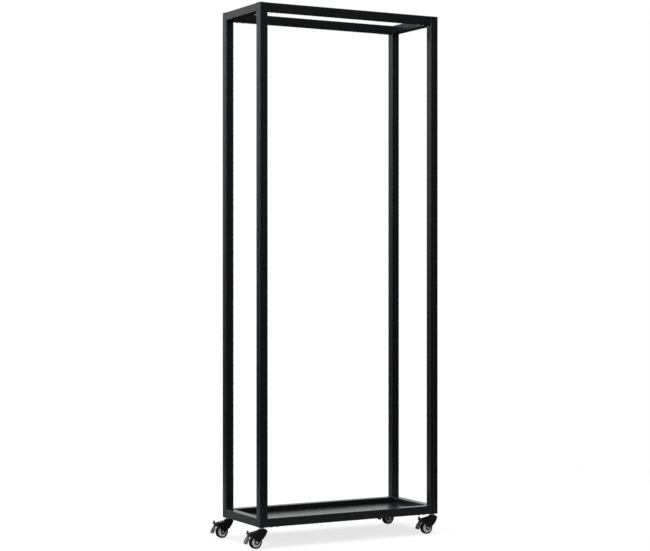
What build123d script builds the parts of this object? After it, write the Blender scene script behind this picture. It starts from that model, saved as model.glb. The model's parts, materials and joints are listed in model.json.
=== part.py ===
from build123d import *
import math
import os

# Firewood rack: a square tube frame on four braked swivel casters.
# Millimetres. The origin is on the floor under the middle of the frame.
# X runs along the rack, Y towards its back and Z up. The casters trail towards -X.

# Frame, outside sizes
RACK_WIDTH = 600.0
RACK_DEPTH = 250.0
FRAME_HEIGHT = 1500.0
TUBE = 25.0
TUBE_WALL = 1.2
TUBE_INNER_CORNER = 0.8

# Plastic caps in the open tops of the posts
CAP_LIP = 2.0
CAP_SKIRT_WALL = 1.5
CAP_SKIRT_DEPTH = 12.0
PLUG_CLEARANCE = 0.05

# Spigots welded to the posts, inside the ends of the long rails
SPIGOT_LENGTH = 45.0
SPIGOT_WALL = 2.0
SPIGOT_CLEARANCE = 0.2

# Button-head screws, with heads in proportion to their diameters
RAIL_SCREW_DIAMETER = 5.0
TRAY_SCREW_DIAMETER = 3.5
SCREW_HEAD_RATIO = 1.9
SCREW_HEAD_TOP_RATIO = 1.2
SCREW_HEAD_HEIGHT_RATIO = 0.54
SCREW_THREAD_CLEARANCE = 0.05
SCREW_HOLE_CLEARANCE = 0.2
SCREW_END = 2.0
RAIL_SCREW_INSET = 18.0
RAIL_SCREW_PITCH = 18.0

# Sheet steel tray on cleats between the bottom rails
TRAY_SHEET = 1.2
TRAY_FLOOR_DROP = 15.0
TRAY_LIP_DROP = 3.0
TRAY_CLEARANCE = 0.5
TRAY_NOTCH = 3.0
CLEAT_SHEET = 2.5
CLEAT_LENGTH = 30.0
CLEAT_REACH = 18.0
CLEATS_PER_SIDE = 3
CLEAT_END_INSET = 60.0

# Threaded sockets in the feet of the posts
SOCKET_DEPTH = 24.0

# Caster, with its swivel axis on the post's centre line
CASTER_HEIGHT = 60.0
CASTER_TRAIL = 21.0
STEM_DIAMETER = 8.0
STEM_LENGTH = 20.0
STEM_CLEARANCE = 0.05
COLLAR_ACROSS_FLATS = 13.0
COLLAR_HEIGHT = 4.5
KINGPIN_DIAMETER = 9.0
KINGPIN_HEAD_DIAMETER = 15.0
KINGPIN_HEAD_HEIGHT = 2.0
RUNNING_CLEARANCE = 0.05
MOVING_GAP = 0.3

# Fixed race cup between the collar and the fork
CUP_DIAMETER = 25.0
CUP_HEIGHT = 3.5
CUP_RIM_HEIGHT = 1.8
CUP_CROWN_DIAMETER = 18.0

# Pressed steel fork
FORK_SHEET = 2.0
FORK_BEND_RADIUS = 2.0
FORK_RACE_DIAMETER = 27.0
FORK_NOSE = 16.5
FORK_WAIST_RADIUS = 4.0
FORK_TAIL = 41.0
FORK_TAIL_DROP = 6.0
FORK_TAIL_HEIGHT = 6.5
FORK_SKIRT = 4.5
FORK_SHOULDER_SETBACK = 3.5
FORK_SHOULDER_DROP = 6.5
FORK_THROAT_RISE = 17.0
FORK_THROAT_RADIUS = 12.0
FORK_BOSS_RADIUS = 7.0
FORK_NOTCH_LENGTH = 8.0

# Wheel
WHEEL_DIAMETER = 38.0
TYRE_WIDTH = 12.5
TYRE_SHOULDER = 4.5
RIM_DIAMETER = 28.0
RIM_EDGE = 1.6
RIM_STEP = 0.6
HUB_WEB = 5.0
HUB_BOSS_DIAMETER = 12.0
HUB_FLARE = 2.0
HUB_PROUD = 1.45
TYRE_SEAT_CLEARANCE = 0.05
AXLE_DIAMETER = 6.0
AXLE_HEAD_DIAMETER = 8.0
AXLE_HEAD_HEIGHT = 2.4
AXLE_HEAD_TOP = 5.5

# Brake lever, with its pivot in the fork's tail
PIVOT_SETBACK = 4.0
PIVOT_DROP = 3.6
PIN_DIAMETER = 3.0
PIN_HEAD_DIAMETER = 5.0
PIN_HEAD_HEIGHT = 1.0
LEVER_BARREL = 6.4
LEVER_NECK = 5.0
PRONG_THICKNESS = 3.0
PRONG_WIDTH = 7.0
KNEE_REACH = 8.0
KNEE_ANGLE = 163.0
UPPER_PRONG = 7.2
UPPER_PRONG_ANGLE = 103.0
REAR_PRONG = 4.2
REAR_PRONG_ANGLE = 178.0
ELBOW_REACH = 7.5
ELBOW_ANGLE = 219.0
PEDAL_NECK = 6.0
PEDAL_NECK_ANGLE = 238.0
PEDAL_NECK_WIDTH = 12.0
PEDAL_LENGTH = 18.5
PEDAL_ANGLE = 245.0
PEDAL_THICKNESS = 3.2
PEDAL_WIDTH = 20.0
PEDAL_CORNER = 4.0
PEDAL_RIBS = 4
PEDAL_RIB_HEIGHT = 1.2
PEDAL_RIB_THICKNESS = 1.4
SHOE_THICKNESS = 4.0
SHOE_ANGLE = 292.0

# Worked out from the sizes above
OVERRUN = 5.0
UPWARD = 0.9
FRAME_BOTTOM = CASTER_HEIGHT
FRAME_TOP = FRAME_BOTTOM + FRAME_HEIGHT
HALF_WIDTH = RACK_WIDTH / 2
HALF_DEPTH = RACK_DEPTH / 2
POST_X = HALF_WIDTH - TUBE / 2
POST_Y = HALF_DEPTH - TUBE / 2
BAY_WIDTH = RACK_WIDTH - 2 * TUBE
BAY_DEPTH = RACK_DEPTH - 2 * TUBE
TUBE_BORE = TUBE - 2 * TUBE_WALL
PLUG_SIDE = TUBE_BORE - 2 * PLUG_CLEARANCE
RAIL_HEIGHTS = {"top": FRAME_TOP - TUBE / 2, "bottom": FRAME_BOTTOM + TUBE / 2}
SIDES_X = {"left": -1, "right": 1}
SIDES_Y = {"front": -1, "rear": 1}
AXLE_X = -CASTER_TRAIL
AXLE_Z = WHEEL_DIAMETER / 2
CUP_TOP = FRAME_BOTTOM - COLLAR_HEIGHT
FORK_TOP = CUP_TOP - CUP_HEIGHT - MOVING_GAP
HUB_WIDTH = TYRE_WIDTH + 2 * HUB_PROUD
FORK_GAP = HUB_WIDTH + 2 * MOVING_GAP
FORK_WIDTH = FORK_GAP + 2 * FORK_SHEET
FORK_SLOPE = FORK_TAIL_DROP / (FORK_TAIL - CUP_DIAMETER / 2)
PIVOT_X = PIVOT_SETBACK - FORK_TAIL
PIVOT_Z = FORK_TOP - FORK_TAIL_DROP + FORK_SLOPE * PIVOT_SETBACK - PIVOT_DROP


def rounded_square(side, corner):
    return RectangleRounded(side, side, corner)


def square_tube(length):
    """A square tube that stands on the origin and runs up."""
    outside = rounded_square(TUBE, TUBE_INNER_CORNER + TUBE_WALL)
    inside = rounded_square(TUBE_BORE, TUBE_INNER_CORNER)
    return extrude(outside - inside, length)


def tube_along_x(length):
    return Pos(-length / 2, 0, 0) * (Rot(0, 90, 0) * square_tube(length))


def tube_along_y(length):
    return Pos(0, length / 2, 0) * (Rot(90, 0, 0) * square_tube(length))


def rod(diameter, low, high):
    """A round rod on the Z axis between two heights."""
    return Pos(0, 0, (low + high) / 2) * Cylinder(diameter / 2, high - low)


def cross_rod(diameter, length):
    """A round rod along Y, centred on the origin."""
    return Rot(90, 0, 0) * Cylinder(diameter / 2, length)


def link(start, end, thickness):
    """A flat bar with round ends between two points."""
    run = Vector(*end) - Vector(*start)
    middle = (Vector(*start) + Vector(*end)) / 2
    turn = math.degrees(math.atan2(run.Y, run.X))
    return Pos(middle.X, middle.Y) * Rot(0, 0, turn) * SlotCenterToCenter(run.length, thickness)


def polar(start, reach, angle):
    turn = math.radians(angle)
    return (start[0] + reach * math.cos(turn), start[1] + reach * math.sin(turn))


def slab(outline, width):
    """A side view given in X and Z, thickened evenly to both sides of Y = 0."""
    return extrude(Plane.XZ * outline, width / 2, both=True)


def screw(diameter, grip):
    """A button-head screw pointing up, with the underside of its head on the origin."""
    head_height = diameter * SCREW_HEAD_HEIGHT_RATIO
    head = Cone(
        diameter * SCREW_HEAD_TOP_RATIO / 2,
        diameter * SCREW_HEAD_RATIO / 2,
        head_height,
        align=(Align.CENTER, Align.CENTER, Align.MAX),
    )
    return head + rod(diameter, -head_height / 2, grip)


def clearance_hole(diameter, low, high):
    return rod(diameter + 2 * SCREW_HOLE_CLEARANCE, low, high)


def threaded_hole(diameter, low, high):
    return rod(diameter + 2 * SCREW_THREAD_CLEARANCE, low, high)


def posts():
    post = square_tube(FRAME_HEIGHT - CAP_LIP)
    made = {}
    for side, sign_x in SIDES_X.items():
        for face, sign_y in SIDES_Y.items():
            place = Pos(sign_x * POST_X, sign_y * POST_Y, FRAME_BOTTOM)
            made[f"{face}_{side}_post"] = place * post
    return made


def side_rails():
    rail = tube_along_y(BAY_DEPTH)
    made = {}
    for side, sign_x in SIDES_X.items():
        for level, height in RAIL_HEIGHTS.items():
            made[f"{side}_{level}_side_rail"] = Pos(sign_x * POST_X, 0, height) * rail
    return made


def rail_screw_places():
    """Where the screws stand along a long rail, from the middle of the rack."""
    places = []
    for sign_x in SIDES_X.values():
        for index in range(2):
            from_post = RAIL_SCREW_INSET + index * RAIL_SCREW_PITCH
            places.append(sign_x * (BAY_WIDTH / 2 - from_post))
    return places


def long_rails():
    rail = tube_along_x(BAY_WIDTH)
    hole = clearance_hole(RAIL_SCREW_DIAMETER, -TUBE, -TUBE_BORE / 2 + OVERRUN)
    for x in rail_screw_places():
        rail -= Pos(x, 0, 0) * hole
    made = {}
    for face, sign_y in SIDES_Y.items():
        for level, height in RAIL_HEIGHTS.items():
            made[f"{face}_{level}_rail"] = Pos(0, sign_y * POST_Y, height) * rail
    return made


def rail_spigots():
    side = TUBE_BORE - 2 * SPIGOT_CLEARANCE
    bore = side - 2 * SPIGOT_WALL
    section = rounded_square(side, TUBE_INNER_CORNER) - Rectangle(bore, bore)
    spigot = Rot(0, 90, 0) * extrude(section, SPIGOT_LENGTH / 2, both=True)
    hole = threaded_hole(RAIL_SCREW_DIAMETER, -side, 0)
    centre = (BAY_WIDTH - SPIGOT_LENGTH) / 2
    ends = []
    for sign_x in SIDES_X.values():
        end = Pos(sign_x * centre, 0, 0) * spigot
        for x in rail_screw_places():
            if x * sign_x > 0:
                end -= Pos(x, 0, 0) * hole
        ends.append(end)
    solids = []
    for sign_y in SIDES_Y.values():
        for height in RAIL_HEIGHTS.values():
            solids += [Pos(0, sign_y * POST_Y, height) * end for end in ends]
    return {"rail_spigots": Compound(solids)}


def rail_screws():
    one = screw(RAIL_SCREW_DIAMETER, TUBE_WALL + SPIGOT_CLEARANCE + SPIGOT_WALL + SCREW_END)
    made = {}
    for level, height in RAIL_HEIGHTS.items():
        solids = []
        for sign_y in SIDES_Y.values():
            for x in rail_screw_places():
                solids.append(Pos(x, sign_y * POST_Y, height - TUBE / 2) * one)
        made[f"{level}_rail_screws"] = Compound(solids)
    return made


def post_caps():
    corner = TUBE_INNER_CORNER + TUBE_WALL
    lip = extrude(rounded_square(TUBE, corner), CAP_LIP)
    skirt_hole = PLUG_SIDE - 2 * CAP_SKIRT_WALL
    skirt = rounded_square(PLUG_SIDE, TUBE_INNER_CORNER) - Rectangle(skirt_hole, skirt_hole)
    cap = lip + extrude(skirt, -CAP_SKIRT_DEPTH)
    solids = []
    for sign_x in SIDES_X.values():
        for sign_y in SIDES_Y.values():
            solids.append(Pos(sign_x * POST_X, sign_y * POST_Y, FRAME_TOP - CAP_LIP) * cap)
    return {"post_caps": Compound(solids)}


def caster_sockets():
    plug = extrude(rounded_square(PLUG_SIDE, TUBE_INNER_CORNER), SOCKET_DEPTH)
    plug -= rod(STEM_DIAMETER + 2 * STEM_CLEARANCE, -OVERRUN, SOCKET_DEPTH + OVERRUN)
    solids = []
    for sign_x in SIDES_X.values():
        for sign_y in SIDES_Y.values():
            solids.append(Pos(sign_x * POST_X, sign_y * POST_Y, FRAME_BOTTOM) * plug)
    return {"caster_sockets": Compound(solids)}


def cleat_places():
    """Where the cleats stand along a long rail, from the middle of the rack."""
    span = BAY_WIDTH - 2 * CLEAT_END_INSET
    pitch = span / (CLEATS_PER_SIDE - 1)
    return [index * pitch - span / 2 for index in range(CLEATS_PER_SIDE)]


def tray_underside():
    return FRAME_BOTTOM + TUBE - TRAY_FLOOR_DROP - TRAY_SHEET


def base_tray():
    """A shallow tray folded from one sheet: a floor and four lips with open corners."""
    low = tray_underside()
    height = FRAME_BOTTOM + TUBE - TRAY_LIP_DROP - low
    width = BAY_WIDTH - 2 * TRAY_CLEARANCE
    depth = BAY_DEPTH - 2 * TRAY_CLEARANCE
    long_side = Box(width - 2 * TRAY_NOTCH, depth, height)
    short_side = Box(width, depth - 2 * TRAY_NOTCH, height)
    inside = Pos(0, 0, TRAY_SHEET) * Box(width - 2 * TRAY_SHEET, depth - 2 * TRAY_SHEET, height)
    tray = Pos(0, 0, low + height / 2) * (long_side + short_side - inside)
    hole = threaded_hole(TRAY_SCREW_DIAMETER, low - OVERRUN, low + OVERRUN)
    for sign_y in SIDES_Y.values():
        for x in cleat_places():
            tray -= Pos(x, sign_y * tray_screw_y(), 0) * hole
    return {"base_tray": tray}


def tray_screw_y():
    return BAY_DEPTH / 2 - CLEAT_SHEET - (CLEAT_REACH - CLEAT_SHEET) / 2


def tray_cleats():
    """Angle cleats welded to the inner faces of the long bottom rails."""
    drop = tray_underside() - FRAME_BOTTOM
    foot = Pos(0, -CLEAT_REACH / 2, drop - CLEAT_SHEET / 2) * Box(CLEAT_LENGTH, CLEAT_REACH, CLEAT_SHEET)
    web = Pos(0, -CLEAT_SHEET / 2, drop / 2) * Box(CLEAT_LENGTH, CLEAT_SHEET, drop)
    cleat = foot + web
    hole = clearance_hole(TRAY_SCREW_DIAMETER, 0, drop + OVERRUN)
    cleat -= Pos(0, tray_screw_y() - BAY_DEPTH / 2, 0) * hole
    solids = []
    for x in cleat_places():
        rear = Pos(x, BAY_DEPTH / 2, FRAME_BOTTOM) * cleat
        solids += [rear, mirror(rear, Plane.XZ)]
    return {"tray_cleats": Compound(solids)}


def tray_screws():
    one = screw(TRAY_SCREW_DIAMETER, CLEAT_SHEET + TRAY_SHEET)
    height = tray_underside() - CLEAT_SHEET
    solids = []
    for sign_y in SIDES_Y.values():
        for x in cleat_places():
            solids.append(Pos(x, sign_y * tray_screw_y(), height) * one)
    return {"tray_screws": Compound(solids)}


def caster_stem():
    """Threaded stem, hexagon collar and kingpin in one, riveted over below the fork."""
    collar = extrude(RegularPolygon(COLLAR_ACROSS_FLATS / 2, 6, major_radius=False), COLLAR_HEIGHT)
    head_top = FORK_TOP - FORK_SHEET - MOVING_GAP
    stem = Pos(0, 0, CUP_TOP) * collar
    stem += rod(STEM_DIAMETER, CUP_TOP, FRAME_BOTTOM + STEM_LENGTH)
    stem += rod(KINGPIN_DIAMETER, head_top - KINGPIN_HEAD_HEIGHT, CUP_TOP)
    stem += rod(KINGPIN_HEAD_DIAMETER, head_top - KINGPIN_HEAD_HEIGHT, head_top)
    return stem


def race_cup():
    """The domed upper race, fixed under the stem's collar."""
    inner = KINGPIN_DIAMETER / 2 + PLUG_CLEARANCE
    section = Polygon(
        (inner, 0),
        (CUP_DIAMETER / 2, 0),
        (CUP_DIAMETER / 2, CUP_RIM_HEIGHT),
        (CUP_CROWN_DIAMETER / 2, CUP_HEIGHT),
        (inner, CUP_HEIGHT),
        align=None,
    )
    return Pos(0, 0, CUP_TOP - CUP_HEIGHT) * revolve(Plane.XZ * section, Axis.Z)


def fork_plan(inset, tail):
    """The fork from above: a channel with a round nose, widened to a disc under the race cup."""
    race = FORK_RACE_DIAMETER / 2 - inset
    half = FORK_WIDTH / 2 - inset
    nose = FORK_NOSE - inset - half
    outline = Circle(race) + Pos(nose, 0) * Circle(half)
    outline += Pos((nose - tail) / 2, 0) * Rectangle(nose + tail, 2 * half)
    waist = [v for v in outline.vertices() if abs(math.hypot(v.X, v.Y) - race) < MOVING_GAP]
    return fillet(waist, FORK_WAIST_RADIUS + inset)


def fork_side():
    """The fork from the side: a flat nose, a sloping tail and a leg that narrows to the axle."""
    tail_top = FORK_TOP - FORK_TAIL_DROP
    tail_end = (-FORK_TAIL, tail_top - FORK_TAIL_HEIGHT)
    shoulder = (FORK_NOSE - FORK_SHOULDER_SETBACK, FORK_TOP - FORK_SHOULDER_DROP)
    throat = (AXLE_X - FORK_BOSS_RADIUS, AXLE_Z + FORK_THROAT_RISE)
    top = Polyline(
        tail_end,
        (-FORK_TAIL, tail_top),
        (-CUP_DIAMETER / 2, FORK_TOP),
        (FORK_NOSE, FORK_TOP),
        (FORK_NOSE, FORK_TOP - FORK_SKIRT),
        shoulder,
        throat,
    )
    head = make_face([*top.edges(), RadiusArc(throat, tail_end, -FORK_THROAT_RADIUS)])
    boss = Pos(AXLE_X, AXLE_Z) * Circle(FORK_BOSS_RADIUS)
    return head + make_hull([*boss.edges(), Line(shoulder, throat)])


def crown_edges(shell):
    """The edges where the top of the fork folds down into its cheeks and nose."""
    tops = [face for face in shell.faces() if face.normal_at().Z > UPWARD]
    edges = ShapeList(edge for face in tops for edge in face.edges())
    return edges.filter_by(Axis.Y, reverse=True)


def fork():
    """A pressed fork: one folded sheet with an open tail, a notch for the brake and two legs."""
    shell = slab(fork_side(), 2 * FORK_WIDTH) & extrude(fork_plan(0, FORK_TAIL), FORK_TOP)
    shell = fillet(crown_edges(shell), FORK_BEND_RADIUS)
    inside = FORK_TOP - FORK_SHEET
    far = FORK_TAIL + OVERRUN
    under = Polygon(
        (-far, -OVERRUN),
        (-far, inside - FORK_SLOPE * (far - CUP_DIAMETER / 2)),
        (-CUP_DIAMETER / 2, inside),
        (FORK_NOSE, inside),
        (FORK_NOSE, -OVERRUN),
        align=None,
    )
    hollow = slab(under, 2 * FORK_WIDTH) & extrude(fork_plan(FORK_SHEET, far), FORK_TOP)
    notch = Pos(-FORK_TAIL, 0, FORK_TOP) * Box(2 * FORK_NOTCH_LENGTH, FORK_GAP, 4 * FORK_TAIL_DROP)
    pressed = shell - hollow - notch
    pressed -= rod(KINGPIN_DIAMETER + 2 * RUNNING_CLEARANCE, inside - OVERRUN, FORK_TOP + OVERRUN)
    axle_hole = cross_rod(AXLE_DIAMETER + 2 * PLUG_CLEARANCE, 2 * FORK_WIDTH)
    pin_hole = cross_rod(PIN_DIAMETER + 2 * PLUG_CLEARANCE, 2 * FORK_WIDTH)
    pressed -= Pos(AXLE_X, 0, AXLE_Z) * axle_hole
    return pressed - Pos(PIVOT_X, 0, PIVOT_Z) * pin_hole


def wheel_hub():
    bore = AXLE_DIAMETER / 2 + RUNNING_CLEARANCE
    boss = HUB_BOSS_DIAMETER / 2
    rim = RIM_DIAMETER / 2
    half_hub = HUB_WIDTH / 2
    half_rim = TYRE_WIDTH / 2 - RIM_STEP
    half_web = HUB_WEB / 2
    upper = [
        (bore, half_hub),
        (boss, half_hub),
        (boss + HUB_FLARE, half_web),
        (rim - RIM_EDGE - HUB_FLARE, half_web),
        (rim - RIM_EDGE, half_rim),
        (rim, half_rim),
    ]
    lower = [(radius, -height) for radius, height in reversed(upper)]
    section = Polygon(*upper, *lower, align=None)
    return Pos(AXLE_X, 0, AXLE_Z) * revolve(section, Axis.Y)


def tyre():
    seat = RIM_DIAMETER / 2 + TYRE_SEAT_CLEARANCE
    depth = WHEEL_DIAMETER / 2 - seat
    section = Pos(seat + depth / 2, 0) * Rectangle(depth, TYRE_WIDTH)
    section = fillet(section.vertices().group_by(Axis.X)[-1], TYRE_SHOULDER)
    return Pos(AXLE_X, 0, AXLE_Z) * revolve(section, Axis.Y)


def headed_pin(diameter, head_diameter, head_top, head_height):
    """A pin along Y through both cheeks of the fork, with a head outside each."""
    half = FORK_WIDTH / 2
    head = Cone(
        head_diameter / 2,
        head_top / 2,
        head_height,
        align=(Align.CENTER, Align.CENTER, Align.MIN),
    )
    pin = cross_rod(diameter, FORK_WIDTH + head_height)
    pin += Pos(0, -half, 0) * (Rot(90, 0, 0) * head)
    return pin + Pos(0, half, 0) * (Rot(-90, 0, 0) * head)


def axle():
    pin = headed_pin(AXLE_DIAMETER, AXLE_HEAD_DIAMETER, AXLE_HEAD_TOP, AXLE_HEAD_HEIGHT)
    return Pos(AXLE_X, 0, AXLE_Z) * pin


def brake_pin():
    pin = headed_pin(PIN_DIAMETER, PIN_HEAD_DIAMETER, PIN_DIAMETER, PIN_HEAD_HEIGHT)
    return Pos(PIVOT_X, 0, PIVOT_Z) * pin


def brake_lever():
    """Barrel, shoe, two release prongs and a ribbed pedal, in one piece."""
    pivot = (PIVOT_X, PIVOT_Z)
    knee = polar(pivot, KNEE_REACH, KNEE_ANGLE)
    elbow = polar(pivot, ELBOW_REACH, ELBOW_ANGLE)
    arm = Pos(*pivot) * Circle(LEVER_BARREL / 2)
    arm += link(pivot, knee, LEVER_NECK)
    arm += link(pivot, elbow, LEVER_NECK)
    arm += link(pivot, polar(pivot, WHEEL_DIAMETER / 2, SHOE_ANGLE), SHOE_THICKNESS)
    arm -= Pos(AXLE_X, AXLE_Z) * Circle(WHEEL_DIAMETER / 2 + MOVING_GAP)
    arm = arm.faces().sort_by_distance((*pivot, 0))[0]
    lever = slab(arm, FORK_GAP - 2 * MOVING_GAP)
    prongs = link(knee, polar(knee, UPPER_PRONG, UPPER_PRONG_ANGLE), PRONG_THICKNESS)
    prongs += link(knee, polar(knee, REAR_PRONG, REAR_PRONG_ANGLE), PRONG_THICKNESS)
    lever += slab(prongs, PRONG_WIDTH)
    hip = polar(elbow, PEDAL_NECK, PEDAL_NECK_ANGLE)
    lever += slab(link(elbow, hip, PEDAL_THICKNESS), PEDAL_NECK_WIDTH)
    lever += Pos(hip[0], 0, hip[1]) * (Rot(0, -PEDAL_ANGLE, 0) * pedal_pad())
    bore = cross_rod(PIN_DIAMETER + 2 * RUNNING_CLEARANCE, 2 * FORK_WIDTH)
    return lever - Pos(PIVOT_X, 0, PIVOT_Z) * bore


def pedal_pad():
    """The foot pad along +X, with ribs across both faces."""
    outline = Pos(PEDAL_LENGTH / 2, 0) * RectangleRounded(PEDAL_LENGTH, PEDAL_WIDTH, PEDAL_CORNER)
    pad = Pos(0, 0, -PEDAL_THICKNESS / 2) * extrude(outline, PEDAL_THICKNESS)
    rib = Box(PEDAL_RIB_THICKNESS, PEDAL_WIDTH - PEDAL_CORNER, PEDAL_THICKNESS + 2 * PEDAL_RIB_HEIGHT)
    pitch = PEDAL_LENGTH / (PEDAL_RIBS + 1)
    for index in range(PEDAL_RIBS):
        pad += Pos((index + 1) * pitch, 0, 0) * rib
    return pad


def casters():
    pieces = {
        "stem": caster_stem(),
        "race_cup": race_cup(),
        "fork": fork(),
        "axle": axle(),
        "tyre": tyre(),
        "wheel_hub": wheel_hub(),
        "brake_lever": brake_lever(),
        "brake_pin": brake_pin(),
    }
    made = {}
    for side, sign_x in SIDES_X.items():
        for face, sign_y in SIDES_Y.items():
            place = Pos(sign_x * POST_X, sign_y * POST_Y, 0)
            for name, piece in pieces.items():
                made[f"{face}_{side}_{name}"] = place * piece
    return made


SUB_ASSEMBLIES = [
    posts,
    side_rails,
    long_rails,
    rail_spigots,
    rail_screws,
    post_caps,
    caster_sockets,
    base_tray,
    tray_cleats,
    tray_screws,
    casters,
]

os.makedirs("parts", exist_ok=True)
for make in SUB_ASSEMBLIES:
    for node, shape in make().items():
        export_step(shape, f"parts/{node}.step")
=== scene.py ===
# %% [markdown]
# # A firewood rack on braked casters
# This lesson dresses a tall rack of black square tube. The measured solids
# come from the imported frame, in metres, with the floor at Z = 0. Blender adds
# the finishes, the small fasteners, the welds and the moulded wheels.

# %% Load the frame
import bpy
import bmesh
import json
import math
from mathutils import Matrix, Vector


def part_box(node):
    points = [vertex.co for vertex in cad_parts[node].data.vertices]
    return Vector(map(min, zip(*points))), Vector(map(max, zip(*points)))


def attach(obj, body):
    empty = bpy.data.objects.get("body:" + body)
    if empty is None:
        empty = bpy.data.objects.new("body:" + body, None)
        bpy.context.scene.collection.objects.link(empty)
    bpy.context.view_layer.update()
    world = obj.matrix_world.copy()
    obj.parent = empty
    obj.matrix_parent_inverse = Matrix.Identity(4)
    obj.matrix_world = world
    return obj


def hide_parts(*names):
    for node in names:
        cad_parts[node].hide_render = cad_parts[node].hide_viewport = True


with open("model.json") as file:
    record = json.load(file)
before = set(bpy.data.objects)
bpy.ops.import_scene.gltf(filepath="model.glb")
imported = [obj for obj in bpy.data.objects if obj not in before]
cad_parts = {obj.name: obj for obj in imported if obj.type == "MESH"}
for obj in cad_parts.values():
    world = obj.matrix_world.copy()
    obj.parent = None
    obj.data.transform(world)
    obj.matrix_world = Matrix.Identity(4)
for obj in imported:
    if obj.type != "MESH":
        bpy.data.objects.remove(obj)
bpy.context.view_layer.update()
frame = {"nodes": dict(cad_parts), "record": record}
nodes = frame["nodes"]
scene = bpy.context.scene
MM = 0.001
CORNERS = ["front_left", "rear_left", "front_right", "rear_right"]

# %% [markdown]
# ## The camera
# The camera stands to the left of the rack, five metres off, half the rack's
# height up and almost level, with a long lens. A long lens keeps the posts
# nearly parallel. The numbers come from a least squares fit to the corners.

# %% Camera
CAMERA_PLACE = (-2.4490, -4.4179, 0.7904)
CAMERA_TILT = math.radians(89.874)
CAMERA_TURN = math.radians(-28.80)
LENS_MM = 93.28
SENSOR_MM = 36.0
CLIP_FROM = 0.1
CLIP_TO = 60.0

camera_data = bpy.data.cameras.new("camera")
camera_data.sensor_width = SENSOR_MM
camera_data.lens = LENS_MM
camera_data.clip_start = CLIP_FROM
camera_data.clip_end = CLIP_TO
camera = bpy.data.objects.new("camera", camera_data)
camera.location = CAMERA_PLACE
camera.rotation_euler = (CAMERA_TILT, 0.0, CAMERA_TURN)
scene.collection.objects.link(camera)
scene.camera = camera
print("camera", tuple(round(c, 3) for c in camera.location), "lens", LENS_MM)

# %% [markdown]
# ## A helper for node trees
# Materials, the world and Geometry Nodes are all trees of nodes. One short
# helper adds a node, sets its options and fills its sockets, either with a
# value or with a wire from another node.

# %% Node helper
def put(tree, kind, sockets=None, **options):
    node = tree.nodes.new(kind)
    for key, value in options.items():
        setattr(node, key, value)
    for key, value in (sockets or {}).items():
        socket = node.inputs[key]
        if isinstance(value, bpy.types.NodeSocket):
            tree.links.new(value, socket)
        else:
            socket.default_value = value
    return node


def blank(tree):
    tree.nodes.clear()
    return tree


print("helpers: put, blank")

# %% [markdown]
# ## Studio light
# Black enamel shows its surroundings more than its own colour. The left faces
# mirror a white backdrop that gets brighter upwards, and the front faces mirror
# the unlit half of the studio. So the world is white where the camera looks at
# it, and what the gloss sees fades towards the front and towards the floor.

# %% World
FRONT_EDGE = -0.10
BACK_EDGE = 0.60
FRONT_BRIGHTNESS = 0.10
LOW_EDGE = -0.15
HIGH_EDGE = 0.17
RISE = 2.2
AMBIENT = 0.35

scene.view_settings.view_transform = "Standard"
world = bpy.data.worlds.new("studio")
scene.world = world
world.use_nodes = True
sky = blank(world.node_tree)
direction = put(sky, "ShaderNodeTexCoord").outputs["Generated"]
parts = put(sky, "ShaderNodeSeparateXYZ", {0: direction})
behind = put(sky, "ShaderNodeMapRange", {
    "Value": parts.outputs["Y"], "From Min": FRONT_EDGE, "From Max": BACK_EDGE,
    "To Min": FRONT_BRIGHTNESS, "To Max": 1.0})
upward = put(sky, "ShaderNodeMapRange", {
    "Value": parts.outputs["Z"], "From Min": LOW_EDGE, "From Max": HIGH_EDGE})
rising = put(sky, "ShaderNodeMath", {0: upward.outputs[0], 1: RISE}, operation="POWER")
seen_in_gloss = put(sky, "ShaderNodeMath", {
    0: behind.outputs[0], 1: rising.outputs[0]}, operation="MULTIPLY")
rays = put(sky, "ShaderNodeLightPath")
seen = put(sky, "ShaderNodeMath", {
    0: rays.outputs["Is Camera Ray"], 1: rays.outputs["Is Transmission Ray"]},
    operation="MAXIMUM")
ambient = put(sky, "ShaderNodeMix", {
    "Factor": rays.outputs["Is Glossy Ray"], "A": AMBIENT,
    "B": seen_in_gloss.outputs[0]}, data_type="FLOAT")
strength = put(sky, "ShaderNodeMix", {
    "Factor": seen.outputs[0], "A": ambient.outputs[0], "B": 1.0},
    data_type="FLOAT")
background = put(sky, "ShaderNodeBackground", {
    "Color": (1, 1, 1, 1), "Strength": strength.outputs[0]})
put(sky, "ShaderNodeOutputWorld", {"Surface": background.outputs[0]})
print("world", world.name)

# %% [markdown]
# ## The floor
# A pale sheet on the floor catches a soft shadow under the casters. The camera
# and the transmitted rays see extra glow on it, which lifts it to the white of
# the backdrop and leaves the shadow in place. Glossy rays see only a trace of
# that glow, so the low tubes keep their black.

# %% Floor
FLOOR_HALF = 4
FLOOR_GREY = 0.30
FLOOR_GLOW = 0.75
GLOW_IN_GLOSS = 0.05
PATCH_CENTRE_Y = 0.55
PATCH_REACH_X = 1.9
PATCH_REACH_Y = 1.25
FADE_FROM = 0.72
FADE_TO = 1.15

floor_mesh = bpy.data.meshes.new("floor")
floor_mesh.from_pydata(
    [(x * FLOOR_HALF, y * FLOOR_HALF, 0) for x, y in ((-1, -1), (1, -1), (1, 1), (-1, 1))],
    [], [(0, 1, 2, 3)])
floor = bpy.data.objects.new("floor", floor_mesh)
scene.collection.objects.link(floor)
floor_paint = bpy.data.materials.new("pale_floor")
floor_paint.use_nodes = True
paint = blank(floor_paint.node_tree)
matt = put(paint, "ShaderNodeBsdfDiffuse", {"Color": (FLOOR_GREY, FLOOR_GREY, FLOOR_GREY, 1)})
rays = put(paint, "ShaderNodeLightPath")
seen = put(paint, "ShaderNodeMath", {
    0: rays.outputs["Is Camera Ray"], 1: rays.outputs["Is Transmission Ray"]},
    operation="MAXIMUM")
seen = put(paint, "ShaderNodeMath", {
    0: rays.outputs["Is Glossy Ray"], 1: GLOW_IN_GLOSS, 2: seen.outputs[0]},
    operation="MULTIPLY_ADD")
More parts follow.
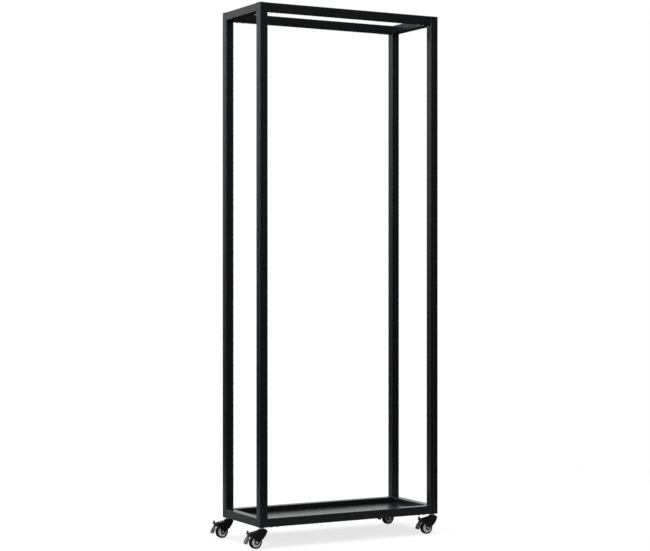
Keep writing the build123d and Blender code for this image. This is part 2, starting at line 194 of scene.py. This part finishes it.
glow = put(paint, "ShaderNodeMath", {0: seen.outputs[0], 1: FLOOR_GLOW}, operation="MULTIPLY")
lift = put(paint, "ShaderNodeEmission", {"Strength": glow.outputs[0]})
both = put(paint, "ShaderNodeAddShader", {0: matt.outputs[0], 1: lift.outputs[0]})
print("floor", tuple(round(d, 2) for d in floor.dimensions))

# %% [markdown]
# A sheet with an edge would show its corners from above. So this one fades out
# to clear round an ellipse, and its lower face is clear as well, so that the
# underside of the rack can be looked at.

# %% Fading floor
place = put(paint, "ShaderNodeTexCoord").outputs["Object"]
centred = put(paint, "ShaderNodeMapping", {
    "Vector": place, "Location": (0.0, -PATCH_CENTRE_Y / PATCH_REACH_Y, 0.0),
    "Scale": (1 / PATCH_REACH_X, 1 / PATCH_REACH_Y, 1)})
away = put(paint, "ShaderNodeVectorMath", {0: centred.outputs[0]}, operation="LENGTH")
fade = put(paint, "ShaderNodeMapRange", {
    "Value": away.outputs["Value"], "From Min": FADE_FROM, "From Max": FADE_TO},
    interpolation_type="SMOOTHSTEP")
clear = put(paint, "ShaderNodeBsdfTransparent")
underneath = put(paint, "ShaderNodeNewGeometry").outputs["Backfacing"]
gone = put(paint, "ShaderNodeMath", {0: fade.outputs[0], 1: underneath}, operation="MAXIMUM")
mixed = put(paint, "ShaderNodeMixShader", {
    0: gone.outputs[0], 1: both.outputs[0], 2: clear.outputs[0]})
put(paint, "ShaderNodeOutputMaterial", {"Surface": mixed.outputs[0]})
floor_mesh.materials.append(floor_paint)
print("floor paint nodes", len(paint.nodes))

# %% [markdown]
# ## Lamps
# Three large soft panels: a key from the upper left, a weaker fill from the
# front and a panel overhead. Each one aims at the middle of the rack.

# %% Lamps
AIM = Vector((0, 0, 0.8))
LAMPS = {
    "key_left": {"place": (-3.4, -0.9, 2.8), "size": 2.4, "power": 95},
    "fill_front": {"place": (-0.9, -4.6, 2.2), "size": 2.0, "power": 40},
    "overhead": {"place": (0.2, 0.6, 4.2), "size": 2.4, "power": 85},
}


def soft_panel(name, place, size, power):
    data = bpy.data.lights.new(name, "AREA")
    data.shape = "SQUARE"
    data.size = size
    data.energy = power
    lamp = bpy.data.objects.new(name, data)
    lamp.location = place
    lamp.rotation_euler = (AIM - Vector(place)).to_track_quat("-Z", "Y").to_euler()
    scene.collection.objects.link(lamp)
    return lamp


for lamp_name, settings in LAMPS.items():
    soft_panel(lamp_name, **settings)
print("lamps", list(LAMPS))

# %% [markdown]
# ## Finishes
# Every finish here is a base colour that drifts a little, a gloss that varies,
# and a fine surface relief. Powder coat is a skin of tiny rolling bumps, enamel
# is flatter and glossier, and moulded plastic has an even grain. One function
# makes them all, and its numbers say which finish it is. Lengths are in metres
# because the patterns read Object coordinates.

# %% Finish function
SHEEN_FINENESS = 3.7
DRIFT_NOISE = {"Detail": 4.0, "Roughness": 0.6}
SHEEN_NOISE = {"Detail": 5.0, "Roughness": 0.65}
PEEL_NOISE = {"Detail": 3.0, "Roughness": 0.5}
SHEEN_LOW = 0.3
SHEEN_HIGH = 0.7
WHITE = (1, 1, 1, 1)


def finish(name, colour, drift, gloss, relief, metal=0.0, specular=0.5, tint=WHITE):
    """colour, (drift scale, amount), (low, high roughness), (relief scale, depth)."""
    material = bpy.data.materials.new(name)
    material.use_nodes = True
    tree = blank(material.node_tree)
    place = put(tree, "ShaderNodeTexCoord").outputs["Object"]
    broad = put(tree, "ShaderNodeTexNoise", {
        "Vector": place, "Scale": drift[0], **DRIFT_NOISE})
    low = tuple(c * (1 - drift[1]) for c in colour) + (1,)
    high = tuple(min(c * (1 + drift[1]), 1.0) for c in colour) + (1,)
    tone = put(tree, "ShaderNodeMix", {
        "Factor": broad.outputs[0], "A": low, "B": high}, data_type="RGBA")
    sheen = put(tree, "ShaderNodeTexNoise", {
        "Vector": place, "Scale": drift[0] * SHEEN_FINENESS, **SHEEN_NOISE})
    rough = put(tree, "ShaderNodeMapRange", {
        "Value": sheen.outputs[0], "From Min": SHEEN_LOW, "From Max": SHEEN_HIGH,
        "To Min": gloss[0], "To Max": gloss[1]})
    peel = put(tree, "ShaderNodeTexNoise", {
        "Vector": place, "Scale": relief[0], **PEEL_NOISE})
    bump = put(tree, "ShaderNodeBump", {
        "Height": peel.outputs[0], "Strength": 1.0, "Distance": relief[1]})
    shader = put(tree, "ShaderNodeBsdfPrincipled", {
        "Base Color": tone.outputs["Result"], "Roughness": rough.outputs[0],
        "Metallic": metal, "Specular IOR Level": specular, "Specular Tint": tint,
        "Normal": bump.outputs[0]})
    put(tree, "ShaderNodeOutputMaterial", {"Surface": shader.outputs[0]})
    return material


print("helper: finish")

# %% [markdown]
# The frame is a satin black powder coat. The caster forks wear a harder, glossier
# black enamel. Collars and screws are zinc plated, the axle ends are turned bright,
# the wheels have grey moulded centres with black treads, and the pedals are
# a black moulded nylon with a fine grain.

# %% Finishes of the rack
COOL_GLOSS = (0.86, 0.94, 1.0, 1)
FINISHES = {
    "powder_coat": finish(
        "powder_coat", (0.0078, 0.0082, 0.0090), (9.0, 0.22), (0.23, 0.30),
        (900.0, 0.00004), specular=0.46, tint=COOL_GLOSS),
    "black_plastic": finish(
        "black_plastic", (0.014, 0.014, 0.0145), (40.0, 0.15), (0.42, 0.55),
        (1900.0, 0.00006)),
    "zinc": finish(
        "zinc", (0.66, 0.68, 0.70), (160.0, 0.10), (0.22, 0.38),
        (900.0, 0.00004), metal=1.0),
    "bright_steel": finish(
        "bright_steel", (0.74, 0.74, 0.75), (220.0, 0.07), (0.14, 0.26),
        (1500.0, 0.00002), metal=1.0),
    "caster_black": finish(
        "caster_black", (0.0045, 0.0045, 0.0050), (60.0, 0.20), (0.20, 0.30),
        (600.0, 0.00003), specular=0.20),
    "tyre_black": finish(
        "tyre_black", (0.0045, 0.0045, 0.0045), (80.0, 0.25), (0.50, 0.64),
        (2200.0, 0.00006), specular=0.16),
    "hub_grey": finish(
        "hub_grey", (0.78, 0.785, 0.79), (70.0, 0.05), (0.18, 0.28),
        (500.0, 0.00002)),
    "pedal_black": finish(
        "pedal_black", (0.026, 0.026, 0.027), (90.0, 0.20), (0.36, 0.48),
        (2400.0, 0.00007)),
}
for part in frame["record"]["subparts"]:
    mesh = nodes[part["node"]].data
    mesh.materials.clear()
    mesh.materials.append(FINISHES[part["material_slot"]])
print("finishes", sorted(FINISHES))

# %% [markdown]
# ## Pieces and their bodies
# A finished piece is a mesh at the origin that rides on one body of the frame
# and may stand for a node. The next helper does this in one place. A second one
# takes a mesh as its modifiers leave it, and throws the working object away.

# %% Piece helper
SMOOTH_PRESSED = 35.0
SMOOTH_TURNED = 50.0
SMOOTH_SCREW = 40.0
SMOOTH_WELD = 60.0


def piece(name, mesh, body, slot, stands_for=(), smooth=SMOOTH_PRESSED):
    mesh.name = name
    mesh.materials.clear()
    mesh.materials.append(FINISHES[slot])
    mesh.shade_smooth()
    mesh.set_sharp_from_angle(angle=math.radians(smooth))
    made = bpy.data.objects.new(name, mesh)
    scene.collection.objects.link(made)
    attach(made, body)
    if stands_for:
        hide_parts(*stands_for)
    return made


def baked(source):
    """The evaluated mesh of an object, and the object itself is thrown away."""
    graph = bpy.context.evaluated_depsgraph_get()
    mesh = bpy.data.meshes.new_from_object(
        source.evaluated_get(graph), preserve_all_data_layers=True, depsgraph=graph)
    bpy.data.objects.remove(source)
    return mesh


print("helpers: piece, baked")

# %% [markdown]
# ## Rounded edges on pressed and moulded pieces
# No real edge is perfectly sharp, and a thin highlight along an edge is what
# makes a pressed fork look like steel. A copy of the node's mesh is merged, its
# flat facets are joined, and a Bevel modifier rounds whatever is left sharp.

# %% Softened copies
MERGE_WITHIN = 0.005 * MM
FLAT_WITHIN = math.radians(0.6)
SHARP_OVER = math.radians(35.0)


def softened(node, width, segments=3):
    mesh = nodes[node].data.copy()
    shape = bmesh.new()
    shape.from_mesh(mesh)
    bmesh.ops.remove_doubles(shape, verts=shape.verts, dist=MERGE_WITHIN)
    bmesh.ops.dissolve_limit(
        shape, angle_limit=FLAT_WITHIN, verts=shape.verts, edges=shape.edges)
    shape.to_mesh(mesh)
    shape.free()
    source = bpy.data.objects.new("softening", mesh)
    scene.collection.objects.link(source)
    bevel = source.modifiers.new("round", "BEVEL")
    bevel.width = width
    bevel.segments = segments
    bevel.limit_method = "ANGLE"
    bevel.angle_limit = SHARP_OVER
    bevel.miter_outer = "MITER_ARC"
    return baked(source)


print("helper: softened")

# %% [markdown]
# Each kind of piece has its own rounding. A turned stem and a pressed fork are
# barely broken, and a moulded cap is softer. The forks turn with the swivels, and
# the stems, caps and cleats stay with the rack.

# %% Rounded pieces
FORK_EDGE = 0.45 * MM
STEM_EDGE = 0.35 * MM
CAP_EDGE = 0.6 * MM
CLEAT_EDGE = 0.4 * MM

for corner in CORNERS:
    name = f"{corner}_fork"
    piece(f"{name}_rounded", softened(name, FORK_EDGE), f"{corner}_swivel",
          "caster_black", [name])
    name = f"{corner}_stem"
    piece(f"{name}_rounded", softened(name, STEM_EDGE, 2), "rack", "zinc", [name])
piece("post_caps_rounded", softened("post_caps", CAP_EDGE), "rack",
      "black_plastic", ["post_caps"])
piece("tray_cleats_rounded", softened("tray_cleats", CLEAT_EDGE, 2), "rack",
      "powder_coat", ["tray_cleats"])

# %% [markdown]
# ## Brake pedals
# Each lever is one black moulding whose pad has four ribs. The pad is painted a
# lighter grey, most of all on the crests of the ribs: a painted highlight that
# stands in for the light the pad and its ribs catch. An attribute on the points
# says how much painted highlight each one gets. It comes from how far the point
# stands out from the pad, and the pedal's finish mixes in the highlight colour by it.

# %% Brake pedals
PAD_ANGLE = math.radians(245)
PAD_LENGTH = 18.5 * MM
PAD_THICKNESS = 3.2 * MM
RIB_HEIGHT = 1.2 * MM
LEVER_EDGE = 0.40 * MM
# Painted highlight on the pedal pad: the share of the lighter grey on the flat pad, then that
# grey, which the rib crests get in full.
PAD_HIGHLIGHT = 0.35
HIGHLIGHT_GREY = (0.17, 0.17, 0.173, 1)


# Paints a highlight on the pad as a point attribute: some lighter grey over the pad, full on the
# rib crests.
def paint_pad_highlight(mesh):
    along = Vector((math.cos(PAD_ANGLE), 0, math.sin(PAD_ANGLE)))
    outward = Vector((along.z, 0, -along.x))
    tip = min((v.co for v in mesh.vertices), key=lambda co: co.z).copy()
    painted_highlight = mesh.attributes.new("painted_highlight", "FLOAT", "POINT")
    for vertex, mark in zip(mesh.vertices, painted_highlight.data):
        away = vertex.co - tip
        rise = min(max((outward.dot(away) - PAD_THICKNESS) / RIB_HEIGHT, 0.0), 1.0)
        on_pad = along.dot(away) > -PAD_LENGTH
        mark.value = PAD_HIGHLIGHT + (1 - PAD_HIGHLIGHT) * rise if on_pad else 0.0
    return mesh


# Mixes the painted highlight colour into the pedal's base colour, by the point attribute.
def mix_in_painted_highlight(material, highlight_colour):
    tree = material.node_tree
    base = tree.nodes["Principled BSDF"].inputs["Base Color"]
    plain_colour = base.links[0].from_socket
    painted_highlight = put(tree, "ShaderNodeAttribute", attribute_name="painted_highlight")
    mixed = put(tree, "ShaderNodeMix", {
        "Factor": painted_highlight.outputs["Fac"], "A": plain_colour, "B": highlight_colour}, data_type="RGBA")
    tree.links.new(mixed.outputs["Result"], base)


mix_in_painted_highlight(FINISHES["pedal_black"], HIGHLIGHT_GREY)
for corner in CORNERS:
    name = f"{corner}_brake_lever"
    piece(f"{name}_rounded", paint_pad_highlight(softened(name, LEVER_EDGE)), f"{corner}_brake",
          "pedal_black", [name])
print("pedals", len(CORNERS))

# %% [markdown]
# ## Turned pieces
# Wheels and race cups are turned shapes: one outline swept round an axis.
# The outline is written as radius and height, and a small function rounds its
# corners. Each corner says how much it is rounded.

# %% Rounded outlines
MOST_OF_A_SIDE = 0.49


def rounded_outline(corners, steps=5):
    """Corners are (radius, height, rounding). Returns a closed outline."""
    outline = []
    count = len(corners)
    for index, (x, y, rounding) in enumerate(corners):
        here = Vector((x, y))
        before = Vector(corners[index - 1][:2]) - here
        after = Vector(corners[(index + 1) % count][:2]) - here
        reach = min(rounding, before.length * MOST_OF_A_SIDE, after.length * MOST_OF_A_SIDE)
        if reach <= 0:
            outline.append(here)
            continue
        start = here + before.normalized() * reach
        end = here + after.normalized() * reach
        for step in range(steps + 1):
            t = step / steps
            outline.append(start * (1 - t) ** 2 + here * 2 * t * (1 - t) + end * t ** 2)
    return outline


print("helper: rounded_outline")

# %% [markdown]
# The Spin operator closes the outline into a ring. It can turn a shape inside
# out, so the points are merged and the faces are then recalculated outwards.

# %% Spin
SAME_POINT = 0.001 * MM


def turned(outline, centre, across=True, segments=96):
    """Spins an outline round the Y axis, or the Z axis, through a centre."""
    mesh = bpy.data.meshes.new("turned")
    shape = bmesh.new()
    if across:
        points = [Vector((p.x, p.y, 0)) for p in outline]
        axis = Vector((0, 1, 0))
    else:
        points = [Vector((p.x, 0, p.y)) for p in outline]
        axis = Vector((0, 0, 1))
    verts = [shape.verts.new(p) for p in points]
    edges = [shape.edges.new((verts[i - 1], verts[i])) for i in range(len(verts))]
    bmesh.ops.spin(shape, geom=verts + edges, axis=axis, cent=(0, 0, 0),
                   angle=math.tau, steps=segments, use_merge=True)
    bmesh.ops.remove_doubles(shape, verts=shape.verts, dist=SAME_POINT)
    bmesh.ops.recalc_face_normals(shape, faces=shape.faces)
    bmesh.ops.translate(shape, verts=shape.verts, vec=centre)
    shape.to_mesh(mesh)
    shape.free()
    return mesh


def middle(node):
    low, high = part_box(node)
    return (low + high) / 2


def extent(node):
    low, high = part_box(node)
    return high - low


print("helpers: turned, middle, extent")

# %% [markdown]
# ## Tyres
# The tread is a plain black band with full shoulders and a thin raised parting
# line left by the mould. A tyre this small has no pattern.

# %% Tyres
TREAD = extent("front_left_tyre").x / 2
TYRE_HALF = extent("front_left_tyre").y / 2
TYRE_SEAT = 14.05 * MM
SHOULDER = 4.5 * MM
WHEEL_SEGMENTS = 128
LINE_HEIGHT = 0.12 * MM
LINE_FOOT = 0.35 * MM
LINE_TOP = 0.10 * MM

band = TREAD - LINE_HEIGHT
tyre_outline = rounded_outline([
    (TYRE_SEAT, -TYRE_HALF, 0.2 * MM),
    (band, -TYRE_HALF, SHOULDER),
    (band, -LINE_FOOT, 0.1 * MM),
    (TREAD, -LINE_TOP, 0.05 * MM),
    (TREAD, LINE_TOP, 0.05 * MM),
    (band, LINE_FOOT, 0.1 * MM),
    (band, TYRE_HALF, SHOULDER),
    (TYRE_SEAT, TYRE_HALF, 0.2 * MM),
], 8)
for corner in CORNERS:
    name = f"{corner}_tyre"
    piece(f"{corner}_tread", turned(tyre_outline, middle(name), segments=WHEEL_SEGMENTS),
          f"{corner}_wheel", "tyre_black", [name])
print("tread radius mm", round(TREAD / MM, 2))

# %% [markdown]
# ## Wheel centres
# The centre is one grey moulding: a raised rim, a dished web and a boss round
# the axle. The small roundings catch the light in rings, as gloss plastic does.

# %% Wheel centres
HUB_PROUD = extent("front_left_wheel_hub").y / 2
HUB_RIM = extent("front_left_wheel_hub").x / 2
HUB_BORE = 3.05 * MM
BOSS_RADIUS = 6.0 * MM
BOSS_FOOT = 7.6 * MM
WEB_OUTER = 10.2 * MM
RIM_INNER = 12.2 * MM
WEB_HALF = 2.5 * MM
WEB_SLOPE = 0.2 * MM
RIM_HALF = TYRE_HALF - 0.6 * MM

hub_half = [
    (HUB_BORE, HUB_PROUD, 0.2 * MM),
    (BOSS_RADIUS, HUB_PROUD, 0.5 * MM),
    (BOSS_FOOT, WEB_HALF + WEB_SLOPE, 1.0 * MM),
    (WEB_OUTER, WEB_HALF, 1.2 * MM),
    (RIM_INNER, RIM_HALF, 0.6 * MM),
    (HUB_RIM, RIM_HALF, 0.25 * MM),
]
hub_outline = rounded_outline(hub_half + [(r, -h, b) for r, h, b in reversed(hub_half)], 6)
for corner in CORNERS:
    name = f"{corner}_wheel_hub"
    piece(f"{corner}_wheel_centre", turned(hub_outline, middle(name), segments=WHEEL_SEGMENTS),
          f"{corner}_wheel", "hub_grey", [name], SMOOTH_TURNED)
print("rim radius mm", round(HUB_RIM / MM, 2))

# %% [markdown]
# ## Race cups
# The upper race is a pressed steel cup: a flat crown, a rolled shoulder and a
# rim that hides the balls. It is turned about the post's own centre line.

# %% Race cups
CUP_RADIUS = extent("front_left_race_cup").x / 2
CUP_HALF = extent("front_left_race_cup").z / 2
CUP_BORE = 4.55 * MM
CUP_RIM_HEIGHT = 1.9 * MM
CUP_NECK = 10.2 * MM
CUP_NECK_DROP = 0.9 * MM
CUP_CROWN = 8.6 * MM

cup_outline = rounded_outline([
    (CUP_BORE, -CUP_HALF, 0.1 * MM),
    (CUP_RADIUS, -CUP_HALF, 0.35 * MM),
    (CUP_RADIUS, CUP_RIM_HEIGHT - CUP_HALF, 1.0 * MM),
    (CUP_NECK, CUP_HALF - CUP_NECK_DROP, 1.2 * MM),
    (CUP_CROWN, CUP_HALF, 0.8 * MM),
    (CUP_BORE, CUP_HALF, 0.1 * MM),
], 6)
for corner in CORNERS:
    name = f"{corner}_race_cup"
    piece(f"{corner}_cup", turned(cup_outline, middle(name), False), "rack",
          "caster_black", [name], SMOOTH_TURNED)
print("cup radius mm", round(CUP_RADIUS / MM, 2))

# %% [markdown]
# ## Button-head screws by Geometry Nodes
# Two screws hold each end of each long rail, from below. They repeat by a rule:
# an inset from the post and a pitch. A Geometry Nodes tree lays two points at
# each end, mirrors them, copies the row to the rear rail and puts a screw
# on every point. Its sizes are named inputs, so a wider rack needs one new number.

# %% Rings of points
SIXTH = math.tau / 6


def ring(shape, radius, height, sides=24, hexagon=False):
    made = []
    for index in range(sides):
        turn = math.tau * index / sides
        reach = radius
        if hexagon:
            reach = radius / math.cos((turn % SIXTH) - SIXTH / 2)
        made.append(shape.verts.new((reach * math.cos(turn), reach * math.sin(turn), height)))
    return made


print("helper: ring")

# %% [markdown]
# One screw is a stack of rings joined by faces: the point, the shank, the domed
# head and the hexagon socket. All its measures are shares of the shank's
# diameter, so one list serves every size.

# %% One screw with a hexagon socket
POINT_RADIUS = 0.18
POINT_LENGTH = 0.16
SHANK_RADIUS = 0.5
SOCKET_DEPTH = 0.24
HEAD_DOME = [
    (0.91, 0.0), (0.95, 0.05), (0.91, 0.18), (0.81, 0.32), (0.67, 0.44), (0.52, 0.51),
    (0.43, 0.536)]
SOCKET = [(0.31, 0.52), (0.30, SOCKET_DEPTH)]


def button_screw(size, grip):
    """Points up. The underside of its head is at Z = 0, as on the solid."""
    shape = bmesh.new()
    rings = [
        ring(shape, POINT_RADIUS * size, grip),
        ring(shape, SHANK_RADIUS * size, grip - POINT_LENGTH * size),
        ring(shape, SHANK_RADIUS * size, 0)]
    rings += [ring(shape, radius * size, -drop * size) for radius, drop in HEAD_DOME]
    rings += [ring(shape, radius * size, -drop * size, hexagon=True) for radius, drop in SOCKET]
    for lower, upper in zip(rings, rings[1:]):
        for index in range(len(lower)):
            shape.faces.new((lower[index - 1], lower[index], upper[index], upper[index - 1]))
    shape.faces.new(rings[0])
    shape.faces.new(rings[-1])
    bmesh.ops.recalc_face_normals(shape, faces=shape.faces)
    mesh = bpy.data.meshes.new("button_screw")
    shape.to_mesh(mesh)
    shape.free()
    mesh.shade_smooth()
    made = bpy.data.objects.new("button_screw", mesh)
    scene.collection.objects.link(made)
    return made


print("screw dome rings", len(HEAD_DOME))

# %% [markdown]
# A tree needs an interface of named inputs, an end that makes real faces with a
# finish, and a run on some start mesh. These three steps are the same for
# every tree, so they are three helpers. A modifier's inputs are set by
# the socket's identifier, because a name may change.

# %% Geometry Nodes helpers
def new_tree(name, inputs):
    """A Geometry Nodes tree with named inputs. Returns it and its input node."""
    tree = bpy.data.node_groups.new(name, "GeometryNodeTree")
    tree.interface.new_socket(name="Geometry", in_out="INPUT", socket_type="NodeSocketGeometry")
    for label, kind in inputs.items():
        tree.interface.new_socket(name=label, in_out="INPUT", socket_type=kind)
    tree.interface.new_socket(name="Geometry", in_out="OUTPUT", socket_type="NodeSocketGeometry")
    return tree, put(tree, "NodeGroupInput")


def close_tree(tree, given, geometry):
    """Ends a tree in Realize Instances and Set Material."""
    solid = put(tree, "GeometryNodeRealizeInstances", {"Geometry": geometry})
    painted = put(tree, "GeometryNodeSetMaterial", {
        "Geometry": solid.outputs[0], "Material": given.outputs["Finish"]})
    put(tree, "NodeGroupOutput", {"Geometry": painted.outputs[0]})
    return tree


def grown(tree, values, start=None):
    """Runs a tree on a start mesh, sets its inputs by identifier and bakes the result."""
    base = bpy.data.objects.new("grown", start or bpy.data.meshes.new("empty"))
    scene.collection.objects.link(base)
    modifier = base.modifiers.new("nodes", "NODES")
    modifier.node_group = tree
    for item in tree.interface.items_tree:
        if item.in_out == "INPUT" and item.name in values:
            modifier[item.identifier] = values[item.name]
    return baked(base)


print("helpers: new_tree, close_tree, grown")

# %% [markdown]
# The screws' tree draws a short line of points, mirrors it to the far end and
# to the rear, and merges points that fall together, as they do on the tray, whose
# middle screw is its own mirror image. The turn of each screw is random with a
# fixed seed, because no two are ever tightened to the same angle.

# %% The tree for rows of screws
SCREW_SEED = 7
TOGETHER = 0.5 * MM

row_tree, given = new_tree("screw_rows", {
    "Screw": "NodeSocketObject", "Finish": "NodeSocketMaterial", "Count": "NodeSocketInt",
    "First": "NodeSocketFloat", "Pitch": "NodeSocketFloat", "Row": "NodeSocketFloat",
    "Height": "NodeSocketFloat"})
start = put(row_tree, "ShaderNodeCombineXYZ", {
    "X": given.outputs["First"], "Y": given.outputs["Row"], "Z": given.outputs["Height"]})
stride = put(row_tree, "ShaderNodeCombineXYZ", {"X": given.outputs["Pitch"]})
row = put(row_tree, "GeometryNodeMeshLine", {
    "Count": given.outputs["Count"], "Start Location": start.outputs[0],
    "Offset": stride.outputs[0]})
far_end = put(row_tree, "GeometryNodeTransform", {
    "Geometry": row.outputs[0], "Scale": (-1, 1, 1)})
ends = put(row_tree, "GeometryNodeJoinGeometry")
row_tree.links.new(row.outputs[0], ends.inputs[0])
row_tree.links.new(far_end.outputs[0], ends.inputs[0])
rear = put(row_tree, "GeometryNodeTransform", {
    "Geometry": ends.outputs[0], "Scale": (1, -1, 1)})
places = put(row_tree, "GeometryNodeJoinGeometry")
row_tree.links.new(ends.outputs[0], places.inputs[0])
row_tree.links.new(rear.outputs[0], places.inputs[0])
merged = put(row_tree, "GeometryNodeMergeByDistance", {
    "Geometry": places.outputs[0], "Distance": TOGETHER})
screw = put(row_tree, "GeometryNodeObjectInfo", {"Object": given.outputs["Screw"]})
turn = put(row_tree, "FunctionNodeRandomValue", {
    "Max": math.tau, "Seed": SCREW_SEED}, data_type="FLOAT")
spun = put(row_tree, "ShaderNodeCombineXYZ", {"Z": turn.outputs[1]})
set_in = put(row_tree, "GeometryNodeInstanceOnPoints", {
    "Points": merged.outputs[0], "Instance": screw.outputs["Geometry"],
    "Rotation": spun.outputs[0]})
close_tree(row_tree, given, set_in.outputs[0])
print("screw tree nodes", len(row_tree.nodes))

# %% [markdown]
# The same tree makes all three sets. The long rails take larger screws in two
# pairs each, and the tray takes small ones along both cleat rows. The places are
# read from the boxes of the solids that the screws stand for.

# %% Rows of screws on the rack
HEAD_HEIGHT = 0.54
HEAD_RADIUS = 0.95
RAIL_SCREW = 5.0 * MM
RAIL_GRIP = 5.4 * MM
RAIL_FIRST = 36 * MM
RAIL_PITCH = 18 * MM
TRAY_SCREW = 3.5 * MM
TRAY_GRIP = 3.7 * MM


def screws(name, node, size, grip, first, pitch, row):
    template = button_screw(size, grip)
    mesh = grown(row_tree, {
        "Screw": template, "Finish": FINISHES["zinc"], "Count": 2, "First": first,
        "Pitch": pitch, "Row": row, "Height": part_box(node)[0].z + HEAD_HEIGHT * size})
    bpy.data.objects.remove(template)
    made = piece(name, mesh, "rack", "zinc", [node], SMOOTH_SCREW)
    print(name, "vertices", len(mesh.vertices))
    return made


rail_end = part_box("front_top_rail")[1].x
rail_y = abs(middle("front_top_rail").y)
for level in ("top", "bottom"):
    screws(f"{level}_rail_button_screws", f"{level}_rail_screws", RAIL_SCREW, RAIL_GRIP,
           rail_end - RAIL_FIRST, RAIL_PITCH, rail_y)
tray_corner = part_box("tray_screws")[1]
reach = HEAD_RADIUS * TRAY_SCREW
screws("tray_button_screws", "tray_screws", TRAY_SCREW, TRAY_GRIP,
       0.0, tray_corner.x - reach, tray_corner.y - reach)

# %% [markdown]
# ## Weld beads by Geometry Nodes
# Each side frame is welded: a rail butts against two posts, and a short fillet
# runs along the inner corner. A weld is a row of small overlapping ripples. The
# tree walks along the seam's edges, puts a flattened bead at a fixed spacing and
# changes each one a little, with a fixed seed, so the row looks laid by hand.

# %% The tree for weld beads
BEAD_SEGMENTS = 10
BEAD_RINGS = 6
LEAST_BEAD = (0.80, 0.88, 0.88)
FULLEST_BEAD = (0.92, 0.98, 0.98)

weld_tree, given = new_tree("weld_beads", {
    "Finish": "NodeSocketMaterial", "Spacing": "NodeSocketFloat", "Bead": "NodeSocketFloat",
    "Seed": "NodeSocketInt"})
seams = put(weld_tree, "GeometryNodeMeshToCurve", {"Mesh": given.outputs["Geometry"]})
walk = put(weld_tree, "GeometryNodeCurveToPoints", {
    "Curve": seams.outputs[0], "Length": given.outputs["Spacing"]}, mode="LENGTH")
blob = put(weld_tree, "GeometryNodeMeshUVSphere", {
    "Segments": BEAD_SEGMENTS, "Rings": BEAD_RINGS, "Radius": given.outputs["Bead"]})
uneven = put(weld_tree, "FunctionNodeRandomValue", {
    "Min": LEAST_BEAD, "Max": FULLEST_BEAD, "Seed": given.outputs["Seed"]},
    data_type="FLOAT_VECTOR")
along = put(weld_tree, "FunctionNodeAlignRotationToVector", {
    "Vector": walk.outputs["Tangent"]}, axis="X")
laid = put(weld_tree, "GeometryNodeInstanceOnPoints", {
    "Points": walk.outputs["Points"], "Instance": blob.outputs["Mesh"],
    "Rotation": along.outputs[0], "Scale": uneven.outputs[0]})
close_tree(weld_tree, given, laid.outputs[0])
print("weld tree nodes", len(weld_tree.nodes))

# %% [markdown]
# The seams themselves are only pairs of points joined by an edge. On a side
# frame they run across each inner corner between a rail and a post.

# %% Welds of the side frames
SEAM_INSET = 3 * MM
FRAME_BEADS = {"Spacing": 1.0 * MM, "Bead": 1.9 * MM, "Seed": 3}


def seam_mesh(seams):
    mesh = bpy.data.meshes.new("seams")
    points = [end for seam in seams for end in seam]
    mesh.from_pydata(points, [(2 * i, 2 * i + 1) for i in range(len(seams))], [])
    return mesh


frame_seams = []
for side in ("left", "right"):
    for level in ("top", "bottom"):
        low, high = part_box(f"{side}_{level}_side_rail")
        height = low.z if level == "top" else high.z
        for y in (low.y, high.y):
            frame_seams.append([
                (low.x + SEAM_INSET, y, height), (high.x - SEAM_INSET, y, height)])
mesh = grown(weld_tree, {"Finish": FINISHES["powder_coat"], **FRAME_BEADS}, seam_mesh(frame_seams))
piece("side_frame_welds", mesh, "rack", "powder_coat", smooth=SMOOTH_WELD)
print("side frame seams", len(frame_seams), "faces", len(mesh.polygons))

# %% [markdown]
# The cleats carry the tray and all that lies on it, so each one is welded to its
# rail down both of its ends. The beads are smaller, because a cleat is thinner
# than a tube.

# %% Welds of the cleats
CLEAT_HALF = 15 * MM
WELD_FROM_BOTTOM = 2.5 * MM
WELD_FROM_TOP = 1 * MM
CLEAT_BEADS = {"Spacing": 0.9 * MM, "Bead": 1.5 * MM, "Seed": 5}

cleat_low, cleat_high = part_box("tray_cleats")
rail_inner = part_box("rear_bottom_rail")[0].y
cleat_seams = []
for sign in (-1, 1):
    for index in (-1, 0, 1):
        for edge in (-CLEAT_HALF, CLEAT_HALF):
            x = index * (cleat_high.x - CLEAT_HALF) + edge
            y = sign * rail_inner
            cleat_seams.append([
                (x, y, cleat_low.z + WELD_FROM_BOTTOM), (x, y, cleat_high.z - WELD_FROM_TOP)])
mesh = grown(weld_tree, {"Finish": FINISHES["powder_coat"], **CLEAT_BEADS}, seam_mesh(cleat_seams))
piece("cleat_welds", mesh, "rack", "powder_coat", smooth=SMOOTH_WELD)
print("cleat seams", len(cleat_seams), "faces", len(mesh.polygons))
